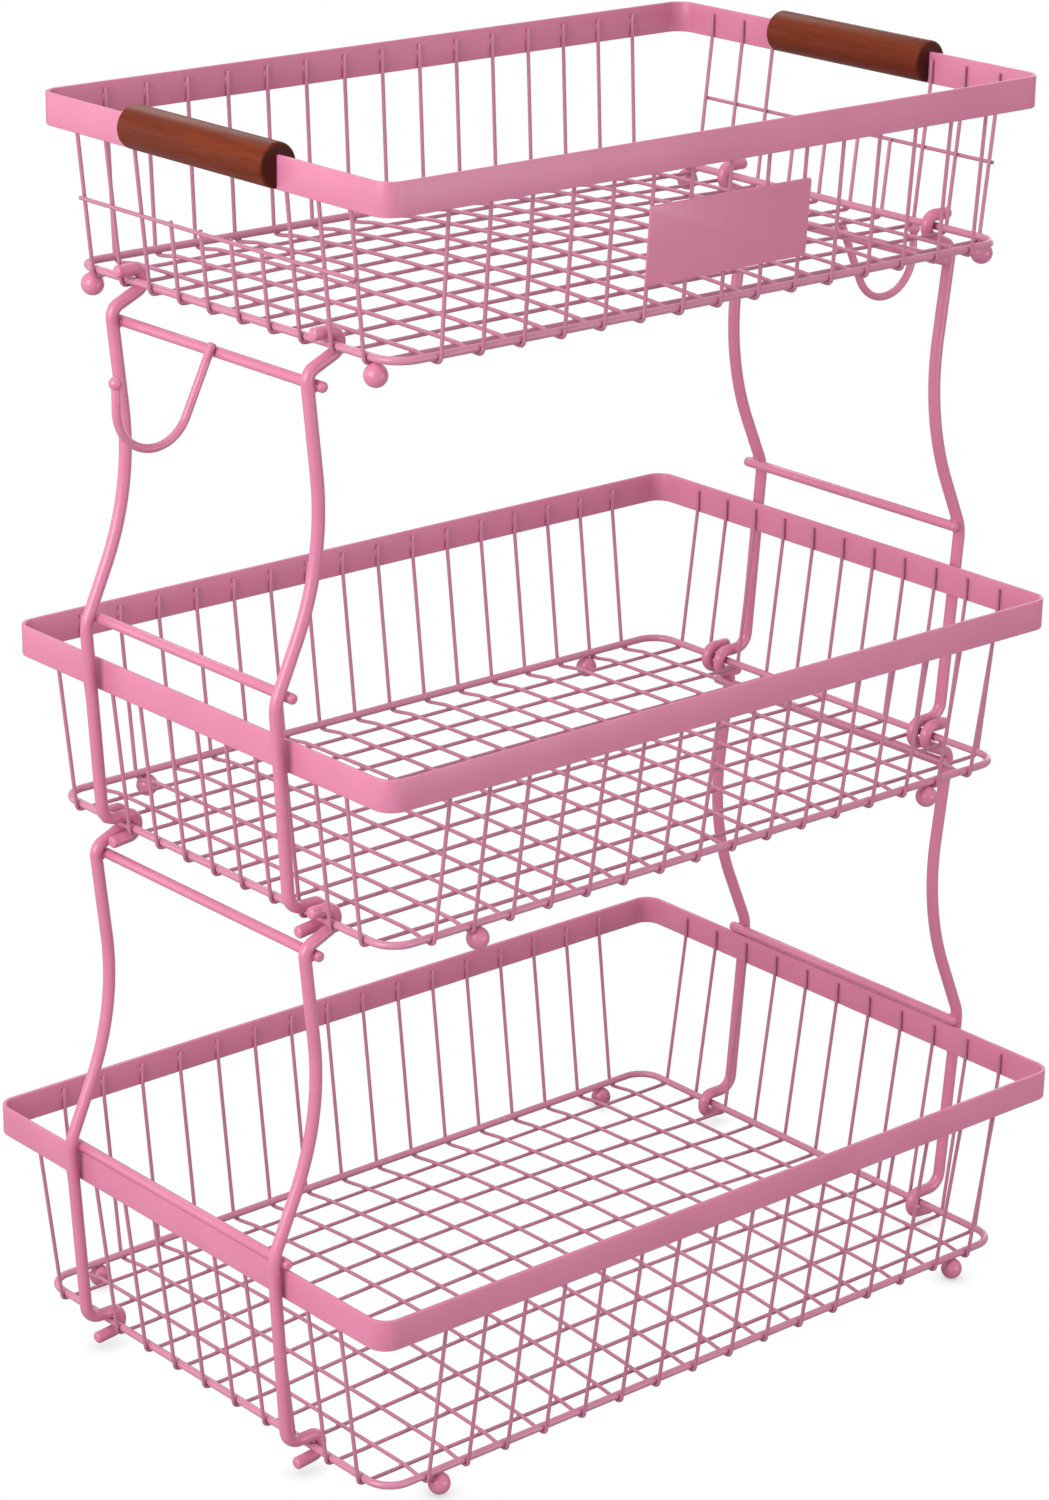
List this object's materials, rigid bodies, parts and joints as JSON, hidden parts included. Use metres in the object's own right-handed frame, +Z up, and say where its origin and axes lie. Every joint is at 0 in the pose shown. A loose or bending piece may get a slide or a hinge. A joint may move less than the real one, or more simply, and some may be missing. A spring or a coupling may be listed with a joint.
{
  "type": "three-tier wire basket stand",
  "caption": "Tapering three-tier wire basket stand: flat-strip rims, mesh walls, hooked wire supports, side hooks, ball feet, wooden handles and a bare label plate on the top basket.",
  "frame": {"origin": "on the table, below the middle of the stand, at the lowest point of the bottom basket's ball feet", "axes": "X along the long sides, from the left handle to the right one; Y from the front, where the label plate is, to the back; Z up"},
  "size_m": [0.5012, 0.3054, 0.6224],
  "materials": {
    "pink_coat": "satin powder coat",
    "stained_wood": "stained and satin lacquered"
  },
  "bodies": {
    "bottom_basket": {"bottom_base_ring": "pink_coat", "bottom_cross_wires": "pink_coat", "bottom_feet": "pink_coat", "bottom_long_wires": "pink_coat", "bottom_rim": "pink_coat"},
    "top_basket": {"label_plate": "pink_coat", "left_handle": "stained_wood", "left_slot_bar": "pink_coat", "right_handle": "stained_wood", "right_slot_bar": "pink_coat", "top_base_ring": "pink_coat", "top_cross_wires": "pink_coat", "top_feet": "pink_coat", "top_long_wires": "pink_coat", "top_rim": "pink_coat", "top_slot_wires": "pink_coat"},
    "upper_left_support": {"left_hook_tip": "pink_coat", "left_side_hook": "pink_coat", "upper_left_front_upright": "pink_coat", "upper_left_lower_crossbar": "pink_coat", "upper_left_rear_upright": "pink_coat", "upper_left_upper_crossbar": "pink_coat"},
    "lower_left_support": {"lower_left_front_upright": "pink_coat", "lower_left_lower_crossbar": "pink_coat", "lower_left_rear_upright": "pink_coat", "lower_left_upper_crossbar": "pink_coat"},
    "lower_right_support": {"lower_right_front_upright": "pink_coat", "lower_right_lower_crossbar": "pink_coat", "lower_right_rear_upright": "pink_coat", "lower_right_upper_crossbar": "pink_coat"},
    "middle_basket": {"middle_base_ring": "pink_coat", "middle_cross_wires": "pink_coat", "middle_feet": "pink_coat", "middle_long_wires": "pink_coat", "middle_rim": "pink_coat"},
    "upper_right_support": {"right_hook_tip": "pink_coat", "right_side_hook": "pink_coat", "upper_right_front_upright": "pink_coat", "upper_right_lower_crossbar": "pink_coat", "upper_right_rear_upright": "pink_coat", "upper_right_upper_crossbar": "pink_coat"}
  },
  "joints": [
    {"name": "middle_basket_lift", "type": "slide", "parent": "bottom_basket", "child": "middle_basket", "axis": [0, 0, 1], "range_m": [0, 0.25]},
    {"name": "top_basket_lift", "type": "slide", "parent": "middle_basket", "child": "top_basket", "axis": [0, 0, 1], "range_m": [0, 0.2]},
    {"name": "lower_left_swing", "type": "hinge", "parent": "bottom_basket", "child": "lower_left_support", "pos_m": [-0.2047, 0, 0.0127], "axis": [0, -1, 0], "range_deg": [0, 60]},
    {"name": "lower_right_swing", "type": "hinge", "parent": "bottom_basket", "child": "lower_right_support", "pos_m": [0.2047, 0, 0.0127], "axis": [0, 1, 0], "range_deg": [0, 60]},
    {"name": "upper_left_swing", "type": "hinge", "parent": "middle_basket", "child": "upper_left_support", "pos_m": [-0.1955, 0, 0.2769], "axis": [0, -1, 0], "range_deg": [0, 60]},
    {"name": "upper_right_swing", "type": "hinge", "parent": "middle_basket", "child": "upper_right_support", "pos_m": [0.1955, 0, 0.2769], "axis": [0, 1, 0], "range_deg": [0, 60]}
  ],
  "couplings": [
    {"joint": "lower_left_swing", "follows": "middle_basket_lift", "rad_per_m": 4.1888},
    {"joint": "lower_right_swing", "follows": "middle_basket_lift", "rad_per_m": 4.1888},
    {"joint": "upper_left_swing", "follows": "top_basket_lift", "rad_per_m": 5.236},
    {"joint": "upper_right_swing", "follows": "top_basket_lift", "rad_per_m": 5.236}
  ]
}
